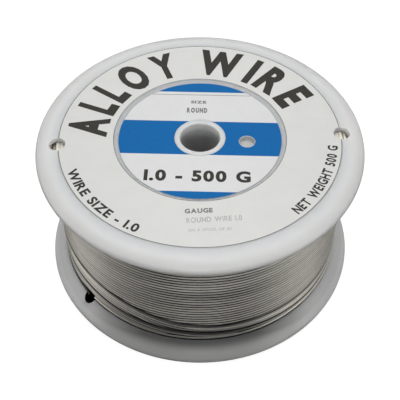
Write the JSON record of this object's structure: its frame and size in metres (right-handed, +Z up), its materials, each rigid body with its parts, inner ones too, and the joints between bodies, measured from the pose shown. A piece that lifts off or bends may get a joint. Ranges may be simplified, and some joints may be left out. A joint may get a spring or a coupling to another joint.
{
  "type": "solder wire spool",
  "caption": "White plastic flanged spool with a spindle bore and paper labels, wound full of thin grey solder wire whose end is tucked into a flange hole.",
  "frame": {"origin": "on the bore axis, in the plane of the lower flange's outer face", "axes": "+Z up along the spindle bore towards the printed flange; +X towards the upper flange's wire hole beside the drive hole"},
  "size_m": [0.08, 0.08, 0.0407],
  "materials": {
    "spool_plastic": "satin",
    "ring_label_paper": "coated",
    "centre_label_paper": "coated, printed with blue bands",
    "solder": "satin"
  },
  "bodies": {
    "root": {"lower_spool_half": "spool_plastic", "upper_spool_half": "spool_plastic", "ring_label": "ring_label_paper", "centre_label": "centre_label_paper", "underside_label": "ring_label_paper", "solder_inner_layers": "solder", "solder_outer_layer": "solder", "solder_inner_end": "solder", "solder_outer_end": "solder"}
  },
  "joints": []
}
